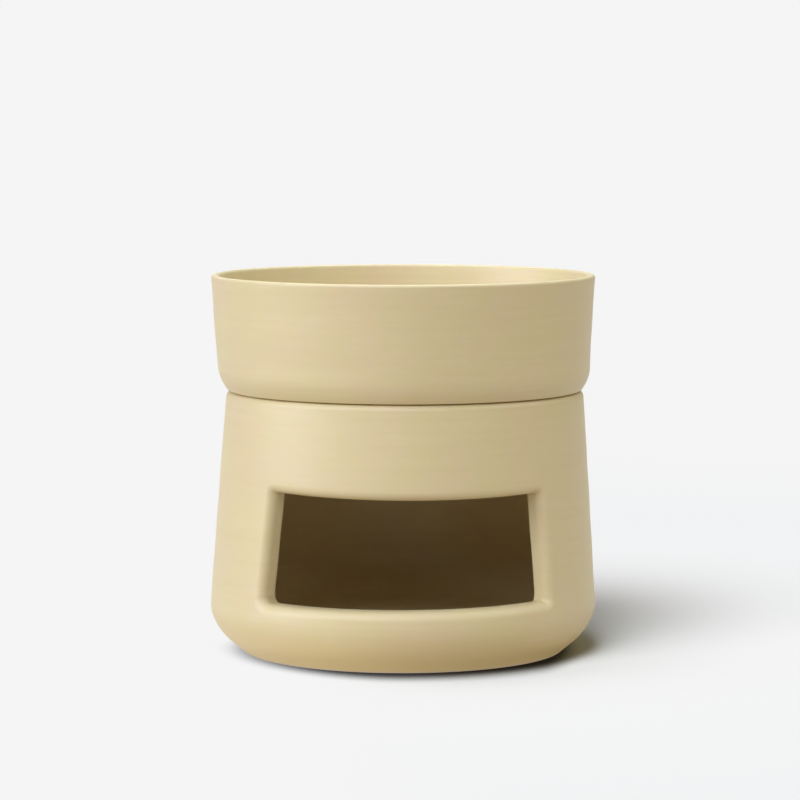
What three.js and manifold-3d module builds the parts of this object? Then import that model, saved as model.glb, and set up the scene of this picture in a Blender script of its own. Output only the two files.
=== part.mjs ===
import * as THREE from 'three';
import * as BufferGeometryUtils from 'three/addons/utils/BufferGeometryUtils.js';
import Module from 'manifold-3d';

// A two-piece ceramic oil burner. The base is a hollow stand with a tealight chamber and a wide
// window in its front wall. The shallow dish for oil and water rests on the base's top rim and
// lifts straight off. Millimetres, +Z up, the window faces -Y, and the origin is on the table
// under the middle of the base.

// Outside of the base, as the corners of its side outline before they are rounded.
const bellyRadius = 55.3;
const bellyHeight = 11.8;
const heelInset = 2.5;
const heelHeight = 5.9;
const footInset = 9.6;
const shoulderRadius = 50.8;
const seatHeight = 74.3;

// How far each of those corners is rounded.
const footRounding = 0.8;
const heelRounding = 16.0;
const bellyRounding = 9.8;
const shoulderRounding = 1.5;
const mouthRounding = 1.2;

// Inside of the base and its underside.
const baseWall = 5.9;
const baseFloor = 6.6;
const footRecess = 2.4;
const footRingWidth = 4.2;
const recessRounding = 1.6;
const chamberCove = 12.0;

// The window in the front wall. Its half widths are angles around the burner's axis, and its
// lintel hangs a little lower in the middle than at the corners.
const sillHeight = 18.0;
const lintelHeight = 48.8;
const lintelSag = 0.6;
const windowBottomAngle = 47.2;
const windowTopAngle = 45.1;
const windowCornerRadius = 1.3;
const outerLipRadius = 2.0;
const innerLipRadius = 0.9;

// Outside of the dish, measured from its seat.
const dishHeight = 32.55;
const dishOverhang = 1.95;
const dishHeelHeight = 3.5;
const dishFlare = 1.75;
const dishSeatInset = 0.6;
const dishHeelRounding = 6.0;
const dishSeatRounding = 0.5;
const rimOuterRounding = 0.8;
const rimInnerRounding = 0.9;

// Inside of the dish, whose wall thickens from the rim down, and the locating ring under it.
const rimWall = 2.2;
const bowlSlope = THREE.MathUtils.degToRad(9);
const dishFloor = 5.2;
const dishCove = 12.0;
const undersideRecess = 0.9;
const locatingRingDepth = 3.4;
const locatingRingWidth = 3.2;
const locatingRingRounding = 1.0;

// Fits between the two pieces.
const seatGap = 0.3;
const locatingClearance = 1.0;

// Fineness of the faceted surfaces.
const turns = 72;
const arcStep = THREE.MathUtils.degToRad(20);
const lipSteps = 5;
const jambSteps = 6;
const cornerSteps = 3;
const creaseAngle = THREE.MathUtils.degToRad(35);

// Glaze, for viewing the model.
const glazeColour = 0xd9c79d;
const glazeRoughness = 0.5;

// Places that follow from the sizes above.
const belly = new THREE.Vector2(bellyRadius, bellyHeight);
const shoulder = new THREE.Vector2(shoulderRadius, seatHeight);
const mouthRadius = shoulderRadius - baseWall;
const chamberFloorHeight = footRecess + baseFloor;
const facetAngle = 2 * Math.PI / turns;
const windowMiddleHeight = (sillHeight + lintelHeight) / 2;

/** Radius at a height on the straight line between two corners of a side outline. */
function radiusOnLine(lower, upper, height) {
  return lower.x + (upper.x - lower.x) * (height - lower.y) / (upper.y - lower.y);
}

/** Radius of the base's outer wall at a height. */
function outerWallRadius(height) {
  return radiusOnLine(belly, shoulder, height);
}

/**
 * Rounds the corners of a side outline. A corner is [radius, height] or, where it is rounded,
 * [radius, height, rounding]. Two roundings that share an edge shrink together where it is short.
 */
function roundedOutline(corners) {
  const places = corners.map(([radius, height]) => new THREE.Vector2(radius, height));
  const rounds = corners.map(([, , rounding = 0], index) => {
    if (rounding === 0) {
      return null;
    }
    const before = places[index - 1].clone().sub(places[index]).normalize();
    const after = places[index + 1].clone().sub(places[index]).normalize();
    const halfAngle = Math.acos(before.dot(after)) / 2;
    return { before, after, halfAngle, reach: rounding / Math.tan(halfAngle) };
  });
  const reachOf = (index) => rounds[index]?.reach ?? 0;
  const shares = places.slice(1).map((place, index) => {
    const needed = reachOf(index) + reachOf(index + 1);
    return needed > 0 ? Math.min(1, place.distanceTo(places[index]) / needed) : 1;
  });
  return places.flatMap((corner, index) => {
    const round = rounds[index];
    if (round === null) {
      return [corner];
    }
    const reach = round.reach * Math.min(shares[index - 1], shares[index]);
    const radius = reach * Math.tan(round.halfAngle);
    const inward = round.before.clone().add(round.after).normalize();
    const centre = corner.clone().addScaledVector(inward, radius / Math.sin(round.halfAngle));
    const start = corner.clone().addScaledVector(round.before, reach);
    const startAngle = start.sub(centre).angle();
    const turn = (Math.PI - 2 * round.halfAngle) * Math.sign(round.after.cross(round.before));
    const steps = Math.max(2, Math.ceil(Math.abs(turn) / arcStep));
    return Array.from({ length: steps + 1 }, (_, step) => {
      const angle = startAngle + turn * step / steps;
      return new THREE.Vector2(Math.cos(angle), Math.sin(angle)).multiplyScalar(radius).add(centre);
    });
  });
}

/** Turns a side outline that starts and ends on the axis into a solid around Z. */
function revolve(corners) {
  return new THREE.LatheGeometry(roundedOutline(corners), turns).rotateX(Math.PI / 2);
}

/** The base before its window is cut: foot ring, rolled heel, tapered wall, mouth and chamber. */
function baseBlank() {
  const footRadius = bellyRadius - footInset;
  const recessRadius = footRadius - footRingWidth;
  const chamberRadius = outerWallRadius(chamberFloorHeight) - baseWall;
  return revolve([
    [0, footRecess],
    [recessRadius, footRecess, recessRounding],
    [recessRadius, 0],
    [footRadius, 0, footRounding],
    [bellyRadius - heelInset, heelHeight, heelRounding],
    [bellyRadius, bellyHeight, bellyRounding],
    [shoulderRadius, seatHeight, shoulderRounding],
    [mouthRadius, seatHeight, mouthRounding],
    [chamberRadius, chamberFloorHeight, chamberCove],
    [0, chamberFloorHeight],
  ]);
}

/**
 * One closed outline of the window on the unrolled wall, as points [angle, height], grown by an
 * offset on every side. Along the sill and the lintel its points lie on the wall's facet edges.
 */
function windowOutline(offset) {
  const wallRadius = outerWallRadius(windowMiddleHeight);
  const corner = (angle, height, upward) => ({
    angle: THREE.MathUtils.degToRad(angle) - windowCornerRadius / wallRadius,
    height: height - upward * windowCornerRadius,
  });
  const bottom = corner(windowBottomAngle, sillHeight, -1);
  const top = corner(windowTopAngle, lintelHeight, 1);
  const reach = windowCornerRadius + offset;
  const arc = (place, side, from) => Array.from({ length: cornerSteps + 1 }, (_, step) => {
    const turn = from + Math.PI / 2 * step / cornerSteps;
    return [side * place.angle + reach * Math.cos(turn) / wallRadius, place.height + reach * Math.sin(turn)];
  });
  const facetEdges = (limit) => {
    const count = Math.ceil(limit / facetAngle) - 1;
    return Array.from({ length: 2 * count + 1 }, (_, index) => (index - count) * facetAngle);
  };
  const jamb = (side, upward) => Array.from({ length: jambSteps - 1 }, (_, index) => {
    const share = (upward ? index + 1 : jambSteps - 1 - index) / jambSteps;
    const angle = THREE.MathUtils.lerp(bottom.angle, top.angle, share) + reach / wallRadius;
    return [side * angle, THREE.MathUtils.lerp(bottom.height, top.height, share)];
  });
  const sill = facetEdges(bottom.angle).map((angle) => [angle, bottom.height - reach]);
  const lintel = facetEdges(top.angle).reverse().map((angle) => {
    const hang = lintelSag * (1 - (angle / top.angle) ** 2);
    return [angle, top.height + reach - hang];
  });
  return [
    ...sill,
    ...arc(bottom, 1, -Math.PI / 2),
    ...jamb(1, true),
    ...arc(top, 1, 0),
    ...lintel,
    ...arc(top, -1, Math.PI / 2),
    ...jamb(-1, false),
    ...arc(bottom, -1, Math.PI),
  ];
}

/** The window's layers through the wall, as [depth, offset]: a lip rolls out at each face. */
function windowLayers() {
  const quarter = (step) => Math.PI / 2 * step / lipSteps;
  const outerLip = Array.from({ length: lipSteps + 1 }, (_, step) => [
    outerLipRadius * (1 - Math.cos(quarter(step))),
    outerLipRadius * (1 - Math.sin(quarter(step))),
  ]);
  const innerLip = Array.from({ length: lipSteps + 1 }, (_, step) => [
    baseWall - innerLipRadius * (1 - Math.cos(quarter(lipSteps - step))),
    innerLipRadius * (1 - Math.sin(quarter(lipSteps - step))),
  ]);
  return [...outerLip, ...innerLip];
}

/** A point of the wall's facets at an angle, a height and a depth behind the outer face. */
function wallPoint(angle, height, depth) {
  const fromEdge = angle - Math.floor(angle / facetAngle) * facetAngle;
  const flattening = Math.cos(facetAngle / 2) / Math.cos(fromEdge - facetAngle / 2);
  const radius = (outerWallRadius(height) - depth) * flattening;
  return new THREE.Vector3(radius * Math.sin(angle), -radius * Math.cos(angle), height);
}

/** The solid that cuts the window: a loft through the wall, closed flat before and behind it. */
function windowCutter() {
  const layers = windowLayers().map(([depth, offset]) => (
    windowOutline(offset).map(([angle, height]) => wallPoint(angle, height, depth))
  ));
  const outside = -(bellyRadius + baseWall);
  const inside = Math.max(...layers[layers.length - 1].map((point) => point.y)) + baseWall;
  layers.unshift(layers[0].map((point) => point.clone().setY(outside)));
  layers.push(layers[layers.length - 1].map((point) => point.clone().setY(inside)));
  const count = layers[0].length;
  const points = layers.flat();
  const frontMiddle = points.push(new THREE.Vector3(0, outside, windowMiddleHeight)) - 1;
  const backMiddle = points.push(new THREE.Vector3(0, inside, windowMiddleHeight)) - 1;
  const lastLayer = (layers.length - 1) * count;
  const triangles = [];
  for (let index = 0; index < count; index += 1) {
    const next = (index + 1) % count;
    triangles.push(frontMiddle, index, next);
    triangles.push(backMiddle, lastLayer + next, lastLayer + index);
    for (let layer = 0; layer < lastLayer; layer += count) {
      triangles.push(layer + index, layer + count + index, layer + next);
      triangles.push(layer + next, layer + count + index, layer + count + next);
    }
  }
  const geometry = new THREE.BufferGeometry().setFromPoints(points);
  geometry.setIndex(triangles);
  return geometry;
}

const wasm = await Module();
wasm.setup();

/** A boolean solid from a geometry: only positions, shared vertices merged, no empty triangles. */
function toSolid(geometry) {
  geometry.deleteAttribute('normal');
  geometry.deleteAttribute('uv');
  const merged = BufferGeometryUtils.mergeVertices(geometry);
  const index = merged.index.array;
  const kept = [];
  for (let first = 0; first < index.length; first += 3) {
    const [a, b, c] = index.slice(first, first + 3);
    if (a !== b && b !== c && c !== a) {
      kept.push(a, b, c);
    }
  }
  return new wasm.Manifold(new wasm.Mesh({
    numProp: 3,
    vertProperties: new Float32Array(merged.attributes.position.array),
    triVerts: new Uint32Array(kept),
  }));
}

/** A geometry from a boolean solid, with smooth normals except over sharp edges. */
function toGeometry(solid) {
  const mesh = solid.getMesh();
  const geometry = new THREE.BufferGeometry();
  geometry.setAttribute('position', new THREE.BufferAttribute(mesh.vertProperties, 3));
  geometry.setIndex(new THREE.BufferAttribute(mesh.triVerts, 1));
  return BufferGeometryUtils.toCreasedNormals(geometry, creaseAngle);
}

/** The dish: seat and locating ring, rolled heel, flared wall, rounded rim and coved bowl. */
function dishShape() {
  const ringRadius = mouthRadius - locatingClearance;
  const heel = new THREE.Vector2(shoulderRadius + dishOverhang, dishHeelHeight);
  const rim = new THREE.Vector2(heel.x + dishFlare, dishHeight);
  const bowlRadius = rim.x - rimWall - (dishHeight - dishFloor) * Math.tan(bowlSlope);
  return revolve([
    [0, undersideRecess],
    [ringRadius - locatingRingWidth, undersideRecess],
    [ringRadius - locatingRingWidth, -locatingRingDepth, locatingRingRounding],
    [ringRadius, -locatingRingDepth, locatingRingRounding],
    [ringRadius, 0],
    [shoulderRadius - dishSeatInset, 0, dishSeatRounding],
    [heel.x, heel.y, dishHeelRounding],
    [rim.x, rim.y, rimOuterRounding],
    [rim.x - rimWall, rim.y, rimInnerRounding],
    [bowlRadius, dishFloor, dishCove],
    [0, dishFloor],
  ]);
}

/** A named piece with a glaze of its own. */
function glazedPiece(name, geometry) {
  const glaze = new THREE.MeshStandardMaterial({
    color: glazeColour,
    roughness: glazeRoughness,
    metalness: 0,
  });
  const piece = new THREE.Mesh(geometry, glaze);
  piece.name = name;
  return piece;
}

const base = glazedPiece('burner_base', toGeometry(toSolid(baseBlank()).subtract(toSolid(windowCutter()))));
const dish = glazedPiece('oil_dish', dishShape());
dish.position.z = seatHeight + seatGap;

const burner = new THREE.Group();
burner.add(base, dish);

export default burner;
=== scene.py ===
# %% [markdown]
# # A two-piece ceramic oil burner
# A hollow stand holds a tealight behind a wide window in its front wall, and a shallow dish for
# water and scented oil rests on the stand's rim. Both are slip-cast in plaster moulds, so their
# walls are even, their corners are soft, and a satin cream glaze runs over everything except the
# ring that each piece stood on in the kiln. This lesson turns both pieces as fine meshes, builds
# the window from rings of quads, mixes the glaze from nodes, and lights it in a pale studio.

import math

import bpy
import numpy as np
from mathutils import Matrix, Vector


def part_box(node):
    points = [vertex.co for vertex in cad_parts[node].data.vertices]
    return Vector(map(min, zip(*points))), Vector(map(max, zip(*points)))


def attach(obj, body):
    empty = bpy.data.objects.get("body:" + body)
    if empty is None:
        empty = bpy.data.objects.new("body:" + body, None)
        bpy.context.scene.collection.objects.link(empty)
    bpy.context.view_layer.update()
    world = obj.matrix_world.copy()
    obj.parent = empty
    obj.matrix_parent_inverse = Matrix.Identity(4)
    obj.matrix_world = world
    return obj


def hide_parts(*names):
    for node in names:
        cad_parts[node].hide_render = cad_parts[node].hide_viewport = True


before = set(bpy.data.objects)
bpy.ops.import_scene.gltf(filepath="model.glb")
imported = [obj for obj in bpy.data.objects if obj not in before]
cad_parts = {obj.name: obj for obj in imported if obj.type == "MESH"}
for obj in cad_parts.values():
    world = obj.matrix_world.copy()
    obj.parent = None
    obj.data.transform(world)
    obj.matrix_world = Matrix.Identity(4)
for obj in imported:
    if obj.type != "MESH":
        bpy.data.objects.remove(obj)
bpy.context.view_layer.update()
_, base_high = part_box("burner_base")
dish_low, dish_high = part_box("oil_dish")
print("stand", tuple(round(v, 4) for v in base_high), "dish", tuple(round(v, 4) for v in dish_high))

# %% [markdown]
# ## Sizes
# The frame gives what the two pieces have to agree on: how high the stand's rim is, and where the
# dish begins and ends. The rest are the maker's own sizes, in metres. Corners of a side outline
# are kept as sharp points with a rounding each, because that is how a profile is drawn before the
# plaster model is turned, and it keeps each size readable.

# %% The stand's sizes
MM = 0.001
seat_height = base_high.z
belly_corner = 55.2 * MM
belly_height = 11.8 * MM
heel_corner = belly_corner - 2.4 * MM
heel_height = 5.9 * MM
foot_radius = belly_corner - 9.5 * MM
foot_inside = foot_radius - 4.2 * MM
foot_recess = 2.4 * MM
shoulder_radius = 50.8 * MM
wall = 5.9 * MM
mouth_radius = shoulder_radius - wall
chamber_floor = 9.0 * MM
chamber_corner = belly_corner - wall + 0.2 * MM
print("stand %.1f mm high" % (seat_height / MM))

# %% The window's sizes
sill_height = 18.0 * MM
lintel_height = 48.8 * MM
lintel_sag = 0.6 * MM
lintel_tilt = 0.15 * MM
sill_tilt = 0.1 * MM
window_bottom_angle = math.radians(47.2)
window_top_angle = math.radians(45.1)
# Lower left, lower right, upper right and upper left.
window_corners = [2.0 * MM, 0.9 * MM, 0.8 * MM, 0.8 * MM]
outer_lip = 2.6 * MM
inner_lip = 0.9 * MM
print("window %.1f mm high" % ((lintel_height - sill_height) / MM))

# %% The dish's sizes
seat_gap = 0.16 * MM
dish_seat = seat_height + seat_gap
dish_rim = dish_high.z
dish_heel = dish_low.z + 6.9 * MM
dish_heel_radius = shoulder_radius + 1.95 * MM
dish_rim_radius = dish_heel_radius + 1.75 * MM
dish_seat_radius = shoulder_radius - 0.35 * MM
dish_wall = 2.2 * MM
bowl_slope = math.radians(9)
dish_floor = dish_low.z + 8.6 * MM
bowl_depth = dish_rim - dish_floor
bowl_mouth = dish_rim_radius - dish_wall
bowl_corner = bowl_mouth - bowl_depth * math.tan(bowl_slope)
ring_radius = mouth_radius - 1.0 * MM
ring_inside = ring_radius - 3.2 * MM
dish_underside = dish_seat + 0.9 * MM
print("dish from %.1f to %.1f mm" % (dish_low.z / MM, dish_rim / MM))

# %% [markdown]
# ## Side outlines
# A turned form is its side outline swept around the axis. An outline could be typed in as many
# points, but then nobody can change it. Here it is a few corners, and each gets a true arc, so a
# highlight glides over a lip in one piece. Straight runs are filled with points as well, because
# the hand-made wobble that comes later needs vertices to move.

# %% Draw a side outline from its corners
RUN_STEP = 1.2 * MM
ARC_STEP = 0.5 * MM
ARC_ANGLE = math.radians(15)


def unit(vector):
    return vector / np.linalg.norm(vector)


def rounded(corners):
    """Points (radius, height) along the corners, each (radius, height, rounding) made an arc."""
    points = []
    for index, corner in enumerate(corners):
        place = np.array(corner[:2])
        if len(corner) == 2:
            points.append(place)
            continue
        radius = corner[2]
        before = unit(np.array(corners[index - 1][:2]) - place)
        after = unit(np.array(corners[index + 1][:2]) - place)
        half = math.acos(before @ after) / 2
        centre = place + unit(before + after) * radius / math.sin(half)
        start = place + before * radius / math.tan(half) - centre
        side = math.copysign(1, after[0] * before[1] - after[1] * before[0])
        turn = math.pi - 2 * half
        steps = max(3, math.ceil(turn / ARC_ANGLE), math.ceil(turn * radius / ARC_STEP))
        for angle in side * turn * np.arange(steps + 1) / steps:
            swing = np.array([[math.cos(angle), -math.sin(angle)], [math.sin(angle), math.cos(angle)]])
            points.append(centre + swing @ start)
    return np.array(points)


def filled(points, step=RUN_STEP):
    """The same outline with points added so that no straight run is longer than the step."""
    result = [points[0]]
    for start, end in zip(points, points[1:]):
        count = max(1, math.ceil(np.linalg.norm(end - start) / step))
        result.extend(start + (end - start) * share for share in np.arange(1, count + 1) / count)
    return np.array(result)


# %% The stand's outline
# Each corner is a radius, a height and its rounding, from the middle underneath to the chamber.
stand_outline = rounded([
    (0, foot_recess),
    (foot_inside, foot_recess, 1.6 * MM),
    (foot_inside, 0, 0.3 * MM),
    (foot_radius, 0, 0.8 * MM),
    (heel_corner, heel_height, 16.0 * MM),
    (belly_corner, belly_height, 9.8 * MM),
    (shoulder_radius, seat_height, 2.0 * MM),
    (mouth_radius, seat_height, 1.2 * MM),
    (chamber_corner, chamber_floor, 12.0 * MM),
    (0, chamber_floor),
])
print("stand outline: %d points" % len(stand_outline))

# %% The dish's outline
dish_outline = filled(rounded([
    (0, dish_underside),
    (ring_inside, dish_underside, 0.8 * MM),
    (ring_inside, dish_low.z, 1.0 * MM),
    (ring_radius, dish_low.z, 1.0 * MM),
    (ring_radius, dish_seat, 0.5 * MM),
    (dish_seat_radius, dish_seat, 0.5 * MM),
    (dish_heel_radius, dish_heel, 11.0 * MM),
    (dish_rim_radius, dish_rim, 0.8 * MM),
    (bowl_mouth, dish_rim, 0.9 * MM),
    (bowl_corner, dish_floor, 12.0 * MM),
    (0, dish_floor),
]))
print("dish outline: %d points" % len(dish_outline))

# %% [markdown]
# ## Turning
# Blender's Screw modifier can sweep an outline, but this stand needs a patch left open for its
# window, with its border vertices known by number. So the sweep is written out: one ring of
# vertices for each outline point, and a single vertex where the outline meets the axis.

# %% Sweep an outline around the axis
COLUMNS = 288
turn_angles = 2 * math.pi * np.arange(COLUMNS) / COLUMNS


def around(radius, angle, height):
    """Points from radius, angle and height. Angle 0 is the front, and it grows towards +X."""
    return np.stack([radius * np.sin(angle), -radius * np.cos(angle), height + 0 * angle], axis=-1)


def turned(outline, is_open=lambda row, column: False):
    """Vertices and faces of the outline turned around Z, without the quads that is_open names."""
    rings = outline[1:-1]
    vertices = [around(radius, turn_angles, height) for radius, height in rings]
    under = len(rings) * COLUMNS
    vertices.append([[0, 0, outline[0][1]], [0, 0, outline[-1][1]]])
    faces = []
    for column in range(COLUMNS):
        beside = (column + 1) % COLUMNS
        faces.append((under, beside, column))
        last = (len(rings) - 1) * COLUMNS
        faces.append((under + 1, last + column, last + beside))
        for row in range(len(rings) - 1):
            if not is_open(row, column):
                low, high = row * COLUMNS, (row + 1) * COLUMNS
                faces.append((low + column, low + beside, high + beside, high + column))
    return np.concatenate(vertices), faces


print("columns around the axis: %d" % COLUMNS)

# %% [markdown]
# ## The window
# On the real stand the window is cut from the leather-hard casting with a fettling knife, and a
# wet sponge rolls its edges over. A boolean would cut it in one line, but it leaves long thin
# faces beside the cut, and satin glaze shows every one of them as a smudge. Instead, rings of
# quads run from an open patch in the outer wall over the outer lip, through the wall and over the
# inner lip to the same patch inside. Angle and height are the coordinates on the wall, so the
# window wraps around the stand by itself.

# %% The wall's radius at any height, outside and inside
FIRST_OUTSIDE = 2
over_floor = chamber_floor + 0.5 * MM
heights = stand_outline[:, 1]
top = int(np.argmax(heights))
outside = stand_outline[FIRST_OUTSIDE:top + 1]
outside = outside[np.argsort(outside[:, 1], kind="stable")]
inside = stand_outline[top:][heights[top:] > over_floor][::-1]


def outer_radius(height):
    return np.interp(height, outside[:, 1], outside[:, 0])


def inner_radius(height):
    return np.interp(height, inside[:, 1], inside[:, 0])


print("wall radius at the sill: %.1f mm outside, %.1f inside" % (
    outer_radius(sill_height) / MM, inner_radius(sill_height) / MM))

# %% Rows that the window's patch shares with the wall
PATCH_ROWS = 44
PATCH_COLUMNS = 90
patch_low = 12.0 * MM
patch_high = 57.0 * MM
patch_clearance = 0.2 * MM
patch_heights = np.linspace(patch_low, patch_high, PATCH_ROWS + 1)


def patch_rows(radius_at, row_heights):
    return np.stack([radius_at(row_heights), row_heights], axis=-1)


is_outer = np.arange(len(stand_outline)) <= top
under_patch = heights < patch_low - patch_clearance
below = filled(stand_outline[is_outer & under_patch])
above = filled(stand_outline[heights > patch_high + patch_clearance])
floor_part = filled(stand_outline[~is_outer & under_patch])
stand_rows = np.concatenate([
    below,
    patch_rows(outer_radius, patch_heights),
    above,
    patch_rows(inner_radius, patch_heights[::-1]),
    floor_part,
])
# The sweep has no ring for the outline's first point, which lies on the axis.
outer_first = len(below) - 1
inner_first = outer_first + PATCH_ROWS + 1 + len(above)
print("stand rows: %d" % len(stand_rows))

# %% The window's outline on the wall
CORNER_STEPS = 6
wall_radius = float(outer_radius((sill_height + lintel_height) / 2))
half_bottom = window_bottom_angle * wall_radius
half_top = window_top_angle * wall_radius
jamb_lean = math.atan2(half_bottom - half_top, lintel_height - sill_height)
side_normals = [-math.pi / 2, jamb_lean, math.pi / 2, math.pi - jamb_lean, 3 * math.pi / 2]
corner_points = [
    (-half_bottom, sill_height),
    (half_bottom, sill_height),
    (half_top, lintel_height),
    (-half_top, lintel_height),
]


def corner_centre(number):
    """Centre of the arc in a window corner, set in from both sides by that corner's rounding."""
    before, after = side_normals[number - 1] if number else side_normals[3], side_normals[number]
    ways = np.array([[math.cos(before), math.sin(before)], [math.cos(after), math.sin(after)]])
    return np.array(corner_points[number]) - np.linalg.solve(ways, [window_corners[number]] * 2)


def window_outline(offset):
    """Angles and heights of the window grown by an offset, in step with the patch's border."""
    points = []
    for number, count in enumerate([PATCH_COLUMNS, PATCH_ROWS] * 2):
        ahead = (number + 1) % 4
        normal = side_normals[number]
        before = side_normals[number - 1] if number else side_normals[3] - 2 * math.pi
        after = side_normals[number + 1]
        first = np.linspace((before + normal) / 2, normal, CORNER_STEPS + 1)
        second = np.linspace(normal, (normal + after) / 2, CORNER_STEPS + 1)
        arcs = []
        for place, angles in ((number, first), (ahead, second)):
            reach = window_corners[place] + offset
            arcs.append(corner_centre(place) + reach * np.stack([np.cos(angles), np.sin(angles)], axis=-1))
        shares = np.arange(1, count - 2 * CORNER_STEPS)[:, None] / (count - 2 * CORNER_STEPS)
        run = arcs[0][-1] + (arcs[1][0] - arcs[0][-1]) * shares
        points.extend([*arcs[0], *run, *arcs[1][:-1]])
    along, height = np.array(points).T
    return along / wall_radius, height + hand_cut(along, height)


def hand_cut(along, height):
    """How far the knife strayed: the lintel sags, and the window is less high on the right."""
    middle = (sill_height + lintel_height) / 2
    rise = (height - middle) / (lintel_height - middle)
    sag = -lintel_sag * np.clip(1 - (along / half_top) ** 2, 0, 1) * np.clip(rise, 0, 1)
    across = np.clip(along / half_bottom, -1, 1)
    tilt = across * (sill_tilt * np.clip(-rise, 0, 1) - lintel_tilt * np.clip(rise, 0, 1))
    return sag + tilt


print("window border: %d points" % len(window_outline(0)[0]))

# %% The border of the open patch


def patch_border(first_row, row_step):
    """Vertex numbers around the open patch, from its lower left corner towards the right."""
    left, right = -PATCH_COLUMNS // 2, PATCH_COLUMNS // 2
    walk = [(column, 0) for column in range(left, right)]
    walk += [(right, row) for row in range(PATCH_ROWS)]
    walk += [(column, PATCH_ROWS) for column in range(right, left, -1)]
    walk += [(left, row) for row in range(PATCH_ROWS, 0, -1)]
    return [(first_row + row_step * row) * COLUMNS + column % COLUMNS for column, row in walk]


print("patch border: %d vertices" % len(patch_border(outer_first, 1)))

# %% Rings from the outer wall over both lips to the inner wall
BLEND_RINGS = 7
LIP_RINGS = 8
JAMB_RINGS = 5


def lip_rings(radius_at, lip, inward):
    """Rings from where a lip leaves its wall to where it meets the jamb."""
    rings = []
    for quarter in np.linspace(0, math.pi / 2, LIP_RINGS + 1):
        angle, height = window_outline(lip * (1 - math.sin(quarter)))
        rings.append((radius_at(height) - inward * lip * (1 - math.cos(quarter)), angle, height))
    return rings


def blend_rings(border, lip_ring, radius_at):
    """Rings on the wall itself, between the patch's border and the foot of a lip."""
    border_angle = np.arctan2(border[:, 0], -border[:, 1])
    rings = []
    for share in np.arange(1, BLEND_RINGS) / BLEND_RINGS:
        height = border[:, 2] + (lip_ring[2] - border[:, 2]) * share
        rings.append((radius_at(height), border_angle + (lip_ring[1] - border_angle) * share, height))
    return rings


def window_rings(vertices, outer_border, inner_border):
    """All rings of the window in order, each as (radius, angle, height)."""
    outer = lip_rings(outer_radius, outer_lip, 1)
    inner = lip_rings(inner_radius, inner_lip, -1)[::-1]
    jamb = []
    for share in np.arange(1, JAMB_RINGS) / JAMB_RINGS:
        radius = outer[-1][0] + (inner[0][0] - outer[-1][0]) * share
        jamb.append((radius, outer[-1][1], outer[-1][2]))
    before = blend_rings(vertices[outer_border], outer[0], outer_radius)
    after = blend_rings(vertices[inner_border], inner[-1], inner_radius)[::-1]
    return before + outer + jamb + inner + after


print("rings on each lip: %d" % (LIP_RINGS + 1))

# %% Join the turned wall and the window's rings


def used_only(vertices, faces):
    """Drops the vertices that the open patch left without a face."""
    used = np.unique(np.concatenate([np.array(face) for face in faces]))
    renumber = np.full(len(vertices), -1)
    renumber[used] = np.arange(len(used))
    return vertices[used], [tuple(int(renumber[corner]) for corner in face) for face in faces]


def is_open(row, column):
    """Whether a quad of the turned wall lies in the window's patch, outside or inside."""
    sideways = (column + COLUMNS // 2) % COLUMNS - COLUMNS // 2
    in_rows = any(first <= row < first + PATCH_ROWS for first in (outer_first, inner_first))
    return in_rows and -PATCH_COLUMNS // 2 <= sideways < PATCH_COLUMNS // 2


def stand_mesh():
    """The whole stand: the turned wall with its patch open, and the window's rings in the patch."""
    vertices, faces = turned(stand_rows, is_open)
    outer_border = patch_border(outer_first, 1)
    inner_border = patch_border(inner_first + PATCH_ROWS, -1)
    rings = window_rings(vertices, outer_border, inner_border)
    count = len(outer_border)
    numbers = [outer_border]
    for ring in rings:
        numbers.append(list(range(len(vertices), len(vertices) + count)))
        vertices = np.concatenate([vertices, around(*ring)])
    numbers.append(inner_border)
    for near, far in zip(numbers, numbers[1:]):
        for place in range(count):
            ahead = (place + 1) % count
            faces.append((near[place], near[ahead], far[ahead], far[place]))
    return used_only(vertices, faces)


stand_vertices, stand_faces = stand_mesh()
print("stand mesh: %d vertices, %d faces" % (len(stand_vertices), len(stand_faces)))

# %% [markdown]
# ## The hand in it
# Plaster moulds, drying and the kiln all pull a casting a little out of true. On a satin glaze
# the eye reads this from the way highlights bend, long before it could be measured. A noise
# texture would look lumpy, so a few slow waves around the axis are enough, under a tenth of a
# millimetre high, with level rings fainter still. They fade out at the foot and the seat, where
# the pieces were rubbed flat. The stand of this burner also leans to the right by two thirds of a
# millimetre, and its dish sits a little right of the middle and leans back over it, so both get
# that too.

# %% Let the kiln pull the walls a little
# Each wave is how often it goes around, its height and where it starts.
WAVES = [(2, 0.07 * MM, 0.7), (3, 0.05 * MM, 2.1), (5, 0.03 * MM, 4.0)]
WAVE_TWIST = 2
WAVE_FADE = 6 * MM
RING_HEIGHT = 15.0 * MM
RING_DEPTH = 0.04 * MM
RING_WOBBLE = 1.5
STAND_START = 0.0
DISH_START = 1.3
# The dish's waves end above its rim, so that they don't fade there.
over_rim = dish_rim + 8 * MM
stand_lean = 0.65 * MM
dish_shift = 0.6 * MM
dish_lean = -0.4 * MM
dish_lean_top = 14.0 * MM


def kiln_pull(vertices, start, low, high):
    """Moves points in and out by slow waves that fade to nothing at the low and high ends."""
    x, y, z = vertices.T
    angle = np.arctan2(x, -y)
    rise = np.clip((z - low) / (high - low), 0, 1)
    fade = np.clip(np.minimum(z - low, high - z) / WAVE_FADE, 0, 1)
    radius = np.hypot(x, y)
    turn = start + WAVE_TWIST * rise
    pull = sum(size * np.cos(times * angle + shift + turn) for times, size, shift in WAVES)
    pull += RING_DEPTH * np.sin(2 * math.pi * z / RING_HEIGHT + RING_WOBBLE * np.sin(angle + start))
    grow = 1 + pull * fade * (radius / belly_corner) / np.maximum(radius, MM)
    return np.stack([x * grow, y * grow, z], axis=-1)


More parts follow.
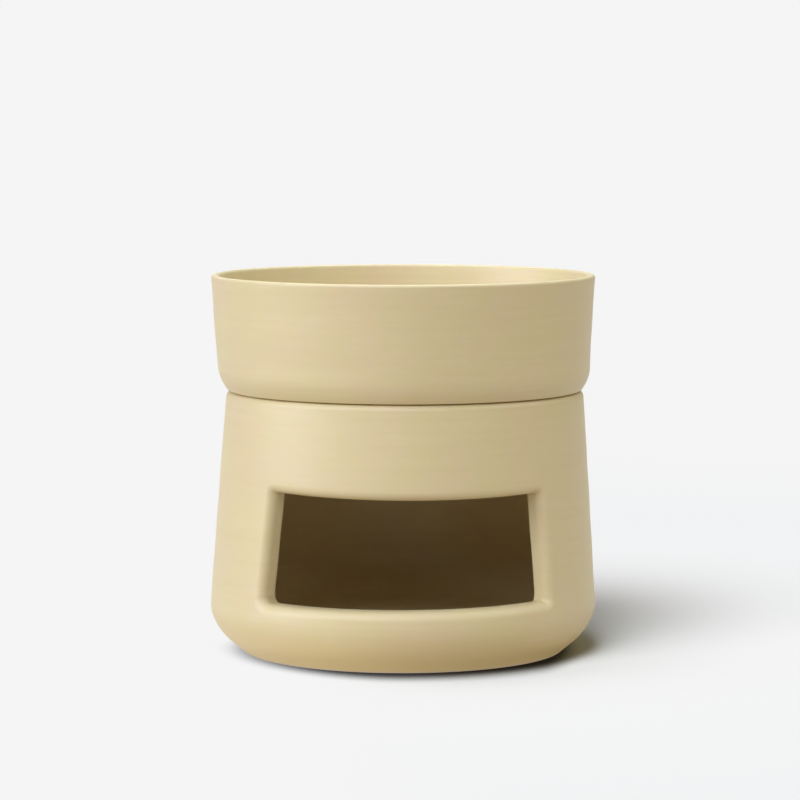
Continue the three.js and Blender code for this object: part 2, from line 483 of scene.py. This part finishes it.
def leaned(vertices, reach, low, high):
    """Moves points towards +X, from nothing at the low end to the full reach at the high end."""
    x, y, z = vertices.T
    return np.stack([x + reach * np.clip((z - low) / (high - low), 0, 1), y, z], axis=-1)


stand_vertices = kiln_pull(stand_vertices, STAND_START, 0.0, seat_height)
stand_vertices = leaned(stand_vertices, stand_lean, belly_height, seat_height)
dish_vertices, dish_faces = turned(dish_outline)
dish_vertices = kiln_pull(dish_vertices, DISH_START, dish_seat, over_rim) + np.array([dish_shift, 0, 0])
dish_vertices = leaned(dish_vertices, dish_lean, dish_seat, dish_seat + dish_lean_top)
print("dish mesh: %d vertices, %d faces" % (len(dish_vertices), len(dish_faces)))

# %% Put both meshes in the scene


def make_piece(name, vertices, faces):
    """A smooth-shaded mesh object in the scene."""
    mesh = bpy.data.meshes.new(name)
    mesh.from_pydata(vertices.tolist(), [], faces)
    mesh.polygons.foreach_set("use_smooth", [True] * len(mesh.polygons))
    mesh.update()
    piece = bpy.data.objects.new(name, mesh)
    bpy.context.scene.collection.objects.link(piece)
    return piece


stand = make_piece("stand_casting", stand_vertices, stand_faces)
dish = make_piece("dish_casting", dish_vertices, dish_faces)
print("pieces:", stand.name, dish.name)

# %% [markdown]
# ## Where glaze runs thin
# Molten glaze pulls away from sharp edges and gathers in hollows. Rims and lips come out a touch
# paler, and inner corners deeper in colour. The mask for this is measured once on the mesh: how
# far a vertex stands proud of its neighbours, which is the surface's own bend. Kept as a mesh
# attribute, it works in any shader and survives baking.

# %% Measure how each surface bends
SMOOTHING_PASSES = 4
TINY_SQUARE = 1e-12


def read_array(items, name, width, kind=float):
    """One row of numbers for each vertex or edge of a mesh."""
    values = np.empty(len(items) * width, dtype=kind)
    items.foreach_get(name, values)
    return values.reshape(-1, width)


def mean_by_edges(count, weight, ends):
    """Weighted mean at each vertex of the values that its edges bring, given as (vertex, value)."""
    sums = np.zeros(count)
    weights = np.zeros(count)
    for here, value in ends:
        np.add.at(sums, here, weight * value)
        np.add.at(weights, here, weight)
    return sums / weights


def measure_bend(piece):
    """Stores the mean bend in 1/m, outward positive, smoothed over a few rings of neighbours."""
    mesh = piece.data
    count = len(mesh.vertices)
    places = read_array(mesh.vertices, "co", 3)
    normals = read_array(mesh.vertex_normals, "vector", 3)
    start, end = read_array(mesh.edges, "vertices", 2, int).T
    step = places[end] - places[start]
    square = np.maximum((step ** 2).sum(axis=1), TINY_SQUARE)
    weight = np.sqrt(square)
    drops = [(here, -2 * (normals[here] * way).sum(axis=1) / square)
             for here, way in ((start, step), (end, -step))]
    bend = mean_by_edges(count, weight, drops)
    for _ in range(SMOOTHING_PASSES):
        around_it = mean_by_edges(count, weight, [(start, bend[end]), (end, bend[start])])
        bend = (bend + around_it) / 2
    attribute = mesh.attributes.new("bend", "FLOAT", "POINT")
    attribute.data.foreach_set("value", bend)
    print(piece.name, "bend from %.0f to %.0f per metre" % (bend.min(), bend.max()))


measure_bend(stand)
measure_bend(dish)

# %% [markdown]
# ## Writing shader maths as sums
# Node trees for a finish are mostly arithmetic on masks. Written node by node they hide the idea,
# so one small class wraps an output socket and turns Python's operators into Math nodes. Every
# other node comes from a single method that takes the node's type, its settings and its inputs.

# %% One class for node arithmetic
class Flow:
    """Something that varies over a surface: one output socket of a node in a material."""

    def __init__(self, tree, socket=None):
        self.tree = tree
        self.socket = socket

    def node(self, kind, settings, inputs, output=0):
        """Adds a node, sets it up, feeds its inputs with values or flows, and returns an output."""
        made = self.tree.nodes.new(kind)
        for name, value in settings.items():
            setattr(made, name, value)
        for name, value in inputs.items():
            if isinstance(value, Flow):
                self.tree.links.new(value.socket, made.inputs[name])
            else:
                made.inputs[name].default_value = value
        return Flow(self.tree, made.outputs[output]) if made.outputs else None

    def maths(self, operation, first, second):
        return self.node("ShaderNodeMath", {"operation": operation}, {0: first, 1: second})

    def __add__(self, other):
        return self.maths("ADD", self, other)

    __radd__ = __add__

    def __sub__(self, other):
        return self.maths("SUBTRACT", self, other)

    def __rsub__(self, other):
        return self.maths("SUBTRACT", other, self)

    def __mul__(self, other):
        return self.maths("MULTIPLY", self, other)

    __rmul__ = __mul__

    def ramp(self, low, high):
        """0 below low, 1 above high, and an even S-curve between them."""
        limits = {"Value": self, "From Min": low, "From Max": high}
        return self.node("ShaderNodeMapRange", {"interpolation_type": "SMOOTHSTEP"}, limits)

    def blend(self, where_zero, where_one):
        """A colour that goes from one to another as this mask goes from 0 to 1."""
        inputs = {"Factor": self, 6: where_zero, 7: where_one}
        return self.node("ShaderNodeMix", {"data_type": "RGBA"}, inputs, output=2)

    def times_colour(self, other):
        """This colour times another one, channel by channel."""
        inputs = {"Factor": 1, 6: self, 7: other}
        settings = {"data_type": "RGBA", "blend_type": "MULTIPLY"}
        return self.node("ShaderNodeMix", settings, inputs, output=2)

    def noise(self, size, detail=2.0, stretch=(1, 1, 1)):
        """Soft noise from 0 to 1 with features about the given size in metres."""
        place = self.node("ShaderNodeTexCoord", {}, {}, output="Object")
        shape = {"Vector": place, "Scale": stretch}
        scaled = self.node("ShaderNodeMapping", {"vector_type": "POINT"}, shape)
        settings = {"noise_dimensions": "3D"}
        inputs = {"Vector": scaled, "Scale": 1 / size, "Detail": detail, "Roughness": 0.5}
        return self.node("ShaderNodeTexNoise", settings, inputs)


def new_material(name):
    """An empty material, and the flow that adds nodes to it."""
    material = bpy.data.materials.new(name)
    material.use_nodes = True
    material.node_tree.nodes.clear()
    return material, Flow(material.node_tree)


print("operators:", ", ".join(name for name in vars(Flow) if name.startswith("__r")))

# %% [markdown]
# ## The glaze
# The burner wears one satin cream glaze. A real satin glaze is never one colour: it drifts between
# a pinker and a yellower cream over a centimetre or two, carries faint level streaks from the
# brush or the pour and warm and cool flecks a millimetre or two across, thins over every edge and
# pools in hollows. Towards the lower end of each piece, over the heels that face the ground, its
# colour is made deeper as painted shade, and the ring that the piece stood on is bare clay. Its
# sheen is soft, because tiny crystals on the surface scatter the light, so it is a middling
# roughness with small changes, and a fine bump for the waviness that the eye sees in the
# highlights. A painted image could hold all this, but it would need a flat layout of the piece,
# and it would blur when seen from near.

# %% The glaze's colours
GLAZE_YELLOW = (0.632, 0.528, 0.297, 1)
GLAZE_PINK = (0.648, 0.515, 0.311, 1)
FLECK_WARM = (1.016, 1.0, 0.90, 1)
FLECK_COOL = (0.984, 1.0, 1.10, 1)
GLAZE_THIN = (0.700, 0.607, 0.380, 1)
GLAZE_POOL = (0.513, 0.396, 0.182, 1)
# Painted shade: a deeper cream for the heels low on each piece, which face the ground.
GLAZE_HEEL_SHADE = (0.631, 0.491, 0.240, 1)
BARE_CLAY = (0.560, 0.470, 0.360, 1)
print("cream from", GLAZE_YELLOW[:3], "to", GLAZE_PINK[:3])

# %% Where its colour changes
DRIFT_SIZE = 16 * MM
DRIFT_RAMP = (0.35, 0.65)
CLOUD_SIZE = 9 * MM
STREAK_SIZE = 5 * MM
STREAK_STRETCH = (0.15, 0.15, 3.2)
FLECK_SIZE = 2.2 * MM
THIN_BEND = (120.0, 420.0)
POOL_BEND = (20.0, 160.0)
THIN_AT_EDGES = 0.1
THIN_BY_STREAKS = 0.6
THIN_BY_CLOUDS = 0.4
POOL_IN_HOLLOWS = 0.6
POOL_BY_STREAKS = 0.4


def cream(flow, thin, pool, cloud, streak):
    """Drifting, flecked cream, paler where the glaze is thin and deeper where it pools."""
    drift = flow.noise(DRIFT_SIZE, detail=2.5).ramp(*DRIFT_RAMP)
    fleck = flow.noise(FLECK_SIZE, detail=3.0)
    colour = drift.blend(GLAZE_YELLOW, GLAZE_PINK).times_colour(fleck.blend(FLECK_WARM, FLECK_COOL))
    paler = THIN_AT_EDGES * thin + THIN_BY_STREAKS * streak + THIN_BY_CLOUDS * cloud
    deeper = POOL_IN_HOLLOWS * pool - POOL_BY_STREAKS * streak
    return deeper.blend(paler.blend(colour, GLAZE_THIN), GLAZE_POOL)


print("streaks %.1f mm high" % (STREAK_SIZE / STREAK_STRETCH[2] / MM))

# %% Painted shade low down, and bare clay
HEEL_SHADE_SHARE = 0.75
HEEL_SHADE_FADE = 9 * MM
HEEL_SHADE_STRAY = 6 * MM
BARE_FADE = 0.25 * MM
BARE_STRAY = 0.4 * MM
BARE_EDGE_SIZE = 3 * MM


def low_masks(flow, cloud, bare_below, heel_shade_below):
    """Masks of the painted shade low on the piece and of the bare clay, both with a wavering upper edge.
    """
    place = flow.node("ShaderNodeTexCoord", {}, {}, output="Object")
    height = flow.node("ShaderNodeSeparateXYZ", {}, {"Vector": place}, output="Z")
    # Painted shade low on the piece, over the heels that face the ground.
    heel_shade = 1 - (height + HEEL_SHADE_STRAY * cloud).ramp(heel_shade_below - HEEL_SHADE_FADE, heel_shade_below)
    ragged = height + BARE_STRAY * (flow.noise(BARE_EDGE_SIZE) - 0.5)
    bare = 1 - ragged.ramp(bare_below, bare_below + BARE_FADE)
    return heel_shade, bare


print("thick glaze fades over %.0f mm" % (HEEL_SHADE_FADE / MM))

# %% Mix the glaze
SATIN = 0.43
ROUGHER_BY_CLOUDS = 0.10
ROUGHER_BY_STREAKS = 0.06
SMOOTHER_IN_POOLS = 0.10
ROUGHER_WHERE_BARE = 0.35
GLAZE_IOR = 1.55
RIPPLE_SIZE = 2.6 * MM
RIPPLE_BY_STREAKS = 0.8
RIPPLE_STRENGTH = 0.25
RIPPLE_DEPTH = 0.06 * MM


def glaze(name, bare_below, heel_shade_below):
    """The cream glaze, with bare clay lower than bare_below and painted shade under heel_shade_below."""
    material, flow = new_material(name)
    bend = flow.node("ShaderNodeAttribute", {"attribute_name": "bend"}, {}, output="Fac")
    thin = bend.ramp(*THIN_BEND)
    pool = (-1 * bend).ramp(*POOL_BEND)
    cloud = flow.noise(CLOUD_SIZE, detail=3.0) - 0.5
    streak = flow.noise(STREAK_SIZE, detail=3.0, stretch=STREAK_STRETCH) - 0.5
    heel_shade, bare = low_masks(flow, cloud, bare_below, heel_shade_below)

    colour = cream(flow, thin, pool, cloud, streak)
    # Painted shade: the cream goes deeper low on each piece.
    colour = (HEEL_SHADE_SHARE * heel_shade).blend(colour, GLAZE_HEEL_SHADE)
    colour = bare.blend(colour, BARE_CLAY)
    satin = SATIN + ROUGHER_BY_CLOUDS * cloud + ROUGHER_BY_STREAKS * streak
    satin = satin - SMOOTHER_IN_POOLS * pool + ROUGHER_WHERE_BARE * bare
    ripple = flow.noise(RIPPLE_SIZE) + RIPPLE_BY_STREAKS * streak
    relief = flow.node("ShaderNodeBump", {}, {
        "Strength": RIPPLE_STRENGTH,
        "Distance": RIPPLE_DEPTH,
        "Height": ripple,
    })
    skin = flow.node("ShaderNodeBsdfPrincipled", {}, {
        "Base Color": colour,
        "Roughness": satin,
        "IOR": GLAZE_IOR,
        "Normal": relief,
    })
    flow.node("ShaderNodeOutputMaterial", {}, {"Surface": skin})
    return material


bare_height = 0.35 * MM
# Heights below which the painted heel shade lies on the stand and on the dish.
stand_heel_shade_top = 14 * MM
dish_heel_shade_top = dish_seat + 3 * MM
stand.data.materials.append(glaze("cream_glaze_stand", bare_height, stand_heel_shade_top))
dish.data.materials.append(glaze("cream_glaze_dish", dish_low.z + bare_height, dish_heel_shade_top))
print("glaze nodes: %d" % len(stand.data.materials[0].node_tree.nodes))

# %% [markdown]
# ## On the frame
# The packed model has plain solids of both castings, and they carry the motion: the dish lifts
# straight off the stand. The fine meshes could be moved by hand for each view, but then they would
# drift from the solids. Instead each mesh stands for its solid and rides on the same body.

# %% Put the castings on the frame
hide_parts("burner_base")
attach(stand, "base")
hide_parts("oil_dish")
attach(dish, "dish")

# %% [markdown]
# ## The studio
# The photograph is a product shot on a seamless pale ground, with soft light from the front left.
# A white sheet under one large lamp would make it, but its level, its shadow and the light on the
# glaze all hang together then. So the ground is built from layers. For the camera it is a
# diffuse sheet that takes the shadow of its own lamps, plus a glow for light from above, which
# ambient occlusion dims close to the burner as painted shade, and a painted contact shadow, a dark
# line under the heel. On the left, where the photograph has no shade, and far off it is the
# backdrop's plain level, still darkened by the painted contact shadow near the foot. For the
# castings it is an even glow, the light that a pale ground throws back, a little brighter beside
# the foot on the lit side. The sheet is a cool white under slightly warm lamps. In the shade, where
# the lamps are lost, the cream glaze still throws warm light on it, and the cool white keeps that
# from showing as a stain.

# %% The ground's levels
WHITE = (1, 1, 1, 1)
BLACK = (0, 0, 0, 1)
BACKDROP = 0.913
GROUND_SIZE = 6.0
SHEET = (0.75, 0.87, 1.0, 1)
# A glow on the ground for light from above, dimmed near the burner as painted shade.
SKY_LIGHT = (0.278, 0.266, 0.257, 1)
SKY_REACH = 90 * MM
SKY_RAMP = (0.5, 1.0)
BOUNCED_LIGHT = (0.665, 0.598, 0.487, 1)
OPEN_BOUNCE = (0.92, 0.84, 0.71, 1)
OPEN_BOUNCE_REACH = (52 * MM, 85 * MM)
# Painted contact shadow under the heel: its reach, its ramp and its darkest colour.
CONTACT_REACH = 14 * MM
CONTACT_RAMP = (0.25, 0.93)
CONTACT_SHADE = (0.05, 0.05, 0.055, 1)
OPEN_SIDE = (-30 * MM, 25 * MM)
LEFT_OF_FOOT = (-55 * MM, 0)
LEFT_LIFT = 0.46
RIGHT_OF_FOOT = (38 * MM, 52 * MM)
RIGHT_LIFT = 0.32
FAR_OFF = (0.30, 0.55)
AO_SAMPLES = 12
print("ground at %.3f of white" % BACKDROP)

# %% Who looks at the ground, and how freely it sees the sky


def ray_kind(flow, kind):
    """1 on light paths of the named kind, and 0 on all others."""
    return flow.node("ShaderNodeLightPath", {}, {}, output="Is %s Ray" % kind)


def seen_directly(flow):
    """1 where the camera or a reflection looks, and 0 for light that bounces off."""
    mirrored = flow.maths("MAXIMUM", ray_kind(flow, "Glossy"), ray_kind(flow, "Transmission"))
    return flow.maths("MAXIMUM", ray_kind(flow, "Camera"), mirrored)


def freedom(flow, reach):
    """How freely a point of the ground sees up, past things nearer than a reach: 1 is free."""
    inputs = {"Distance": reach}
    return flow.node("ShaderNodeAmbientOcclusion", {"samples": AO_SAMPLES}, inputs, output="AO")


print("line of contact within %.0f mm, sky lost within %.0f mm" % (CONTACT_REACH / MM, SKY_REACH / MM))

# %% Lay the ground


def pale_sheet():
    """A wide flat mesh, level with the foot."""
    half = GROUND_SIZE / 2
    mesh = bpy.data.meshes.new("ground")
    corners = [(-half, -half, 0), (half, -half, 0), (half, half, 0), (-half, half, 0)]
    mesh.from_pydata(corners, [], [(0, 1, 2, 3)])
    sheet = bpy.data.objects.new("ground", mesh)
    bpy.context.scene.collection.objects.link(sheet)
    return sheet


def pale_finish():
    """What the camera sees of the ground, what light the ground gives back, and where it is plain."""
    material, flow = new_material("pale_ground")
    seen = seen_directly(flow)
    place = flow.node("ShaderNodeTexCoord", {}, {}, output="Object")
    across = flow.node("ShaderNodeSeparateXYZ", {}, {"Vector": place}, output="X")
    away = flow.node("ShaderNodeVectorMath", {"operation": "LENGTH"}, {0: place}, output="Value")
    open_side = 1 - across.ramp(*OPEN_SIDE)
    # The lifts thin the painted contact shadow to the left and to the right of the foot.
    lift = LEFT_LIFT * (1 - across.ramp(*LEFT_OF_FOOT)) + RIGHT_LIFT * across.ramp(*RIGHT_OF_FOOT)
    # Painted contact shadow: ambient occlusion darkens the ground's colour under the heel.
    contact = (freedom(flow, CONTACT_REACH) + lift).ramp(*CONTACT_RAMP)
    sheet_colour = seen.blend(BLACK, contact.blend(CONTACT_SHADE, SHEET))
    sheet = flow.node("ShaderNodeBsdfDiffuse", {}, {"Color": sheet_colour})
    # The sky glow, dimmed by ambient occlusion near the burner as painted shade.
    sky = (contact * freedom(flow, SKY_REACH).ramp(*SKY_RAMP)).blend(BLACK, SKY_LIGHT)
    bounce = (open_side * (1 - away.ramp(*OPEN_BOUNCE_REACH))).blend(BOUNCED_LIGHT, OPEN_BOUNCE)
    glow = flow.node("ShaderNodeEmission", {}, {"Color": seen.blend(bounce, sky), "Strength": 1})
    lit = flow.node("ShaderNodeAddShader", {}, {0: sheet, 1: glow})
    # The plain level keeps the painted contact shadow too.
    plain_colour = contact.blend(CONTACT_SHADE, WHITE)
    plain = flow.node("ShaderNodeEmission", {}, {"Color": plain_colour, "Strength": BACKDROP})
    unshaded = flow.maths("MAXIMUM", away.ramp(*FAR_OFF), open_side) * seen
    mixed = flow.node("ShaderNodeMixShader", {}, {0: unshaded, 1: lit, 2: plain})
    flow.node("ShaderNodeOutputMaterial", {}, {"Surface": mixed})
    return material


ground = pale_sheet()
ground.data.materials.append(pale_finish())
print("ground %.0f m wide" % GROUND_SIZE)

# %% [markdown]
# ## The backdrop
# Behind the ground there is only a colour, and it lights nothing. A curved sheet of paper would
# do in a real studio, but a colour can't catch a shadow. The camera sees it as bright as the
# ground, and the glaze mirrors a dimmer one, because a real studio is dark outside its softboxes.
# A full white mirror image would wash the cream out.

# %% The backdrop's colour
STUDIO_GLOSS = 0.40
world = bpy.data.worlds.new("studio")
bpy.context.scene.world = world
world.use_nodes = True
world.node_tree.nodes.clear()
around_us = Flow(world.node_tree)
seen_plainly = ray_kind(around_us, "Camera") + ray_kind(around_us, "Transmission")
backdrop_level = BACKDROP * seen_plainly + STUDIO_GLOSS * ray_kind(around_us, "Glossy")
backdrop = around_us.node("ShaderNodeBackground", {}, {"Color": WHITE, "Strength": backdrop_level})
around_us.node("ShaderNodeOutputWorld", {}, {"Surface": backdrop})
print("mirrored at %.2f of white" % STUDIO_GLOSS)

# %% [markdown]
# ## The lamps
# Softboxes could be area lamps, but the level of an area lamp changes with its distance and size.
# A sun with a wide angle has the same soft edge, and its level is a plain number: at 1 it shows a
# colour that faces it as it is written. The castings have eight, mostly from the left and from
# above, with fainter ones where studio walls throw light back. The ground has two of its own, by
# light linking, so its shadow can be set without changing the glaze.

# %% The lamps
# Each lamp is a name, an azimuth, an elevation and a softness in degrees, a level and a tint.
CASTING_LAMPS = [
    ("key_high", -55, 57, 50, 0.288, (0.90, 1.02, 1.14)),
    ("key_low", -25, 34, 40, 0.188, (0.95, 1.00, 1.18)),
    ("left_high", -75, 25, 40, 0.237, (0.93, 1.00, 1.19)),
    ("left_low", -78, 10, 45, 0.433, (0.99, 1.00, 1.05)),
    ("front_mid", 0, 40, 40, 0.172, (0.95, 1.01, 1.01)),
    ("right_front", 40, 25, 40, 0.095, (1.04, 1.00, 0.90)),
    ("right_high", 80, 50, 50, 0.319, (0.96, 1.02, 0.95)),
    ("back_top", 180, 60, 50, 0.614, (0.96, 1.01, 0.97)),
]
GROUND_LAMPS = [
    ("ground_key", -28, 50, 40, 0.623, (1.15, 1.00, 0.88)),
    ("ground_side", -20, 50, 25, 0.309, (1.08, 1.00, 0.93)),
]


def soft_lamp(name, azimuth, elevation, softness, level, tint):
    """A far soft light. Azimuth 0 is the camera's side, and a negative one is on the left."""
    lamp = bpy.data.lights.new(name, "SUN")
    lamp.angle = math.radians(softness)
    lamp.energy = math.pi * level
    lamp.color = tint
    far_off = bpy.data.objects.new(name, lamp)
    far_off.rotation_euler = (math.radians(90 - elevation), 0, math.radians(azimuth))
    bpy.context.scene.collection.objects.link(far_off)
    return far_off


def light_only(pieces, lamps):
    """Builds lamps that light only the given pieces, while every piece still casts its shadow."""
    lit = bpy.data.collections.new("lit_by_" + lamps[0][0])
    for piece in pieces:
        lit.objects.link(piece)
    for facts in lamps:
        soft_lamp(*facts).light_linking.receiver_collection = lit


light_only([stand, dish], CASTING_LAMPS)
light_only([ground], GROUND_LAMPS)
print("lamps:", ", ".join(facts[0] for facts in CASTING_LAMPS + GROUND_LAMPS))

# %% [markdown]
# ## The camera
# Fitting a pinhole camera to the rim, the seam and the foot gives a long lens about a metre away,
# looking down by five degrees. No shift is needed. Depth of field stays off.

# %% The camera
CAMERA_DISTANCE = 1.0
CAMERA_HEIGHT = 162.4 * MM
CAMERA_SIDE = -0.76 * MM
CAMERA_PITCH = math.radians(5.214)
CAMERA_TURN = math.radians(-1.0)
SENSOR = 36.0
FOCAL_PIXELS = 3517.0
FRAME_PIXELS = 800

camera_data = bpy.data.cameras.new("camera")
camera_data.sensor_width = SENSOR
camera_data.lens = FOCAL_PIXELS * SENSOR / FRAME_PIXELS
camera = bpy.data.objects.new("camera", camera_data)
camera.location = (
    CAMERA_DISTANCE * math.sin(CAMERA_TURN) + CAMERA_SIDE * math.cos(CAMERA_TURN),
    -CAMERA_DISTANCE * math.cos(CAMERA_TURN) + CAMERA_SIDE * math.sin(CAMERA_TURN),
    CAMERA_HEIGHT,
)
camera.rotation_euler = (math.pi / 2 - CAMERA_PITCH, 0, CAMERA_TURN)
bpy.context.scene.collection.objects.link(camera)
bpy.context.scene.camera = camera
bpy.context.scene.view_settings.view_transform = "Standard"
print("lens %.1f mm" % camera_data.lens)
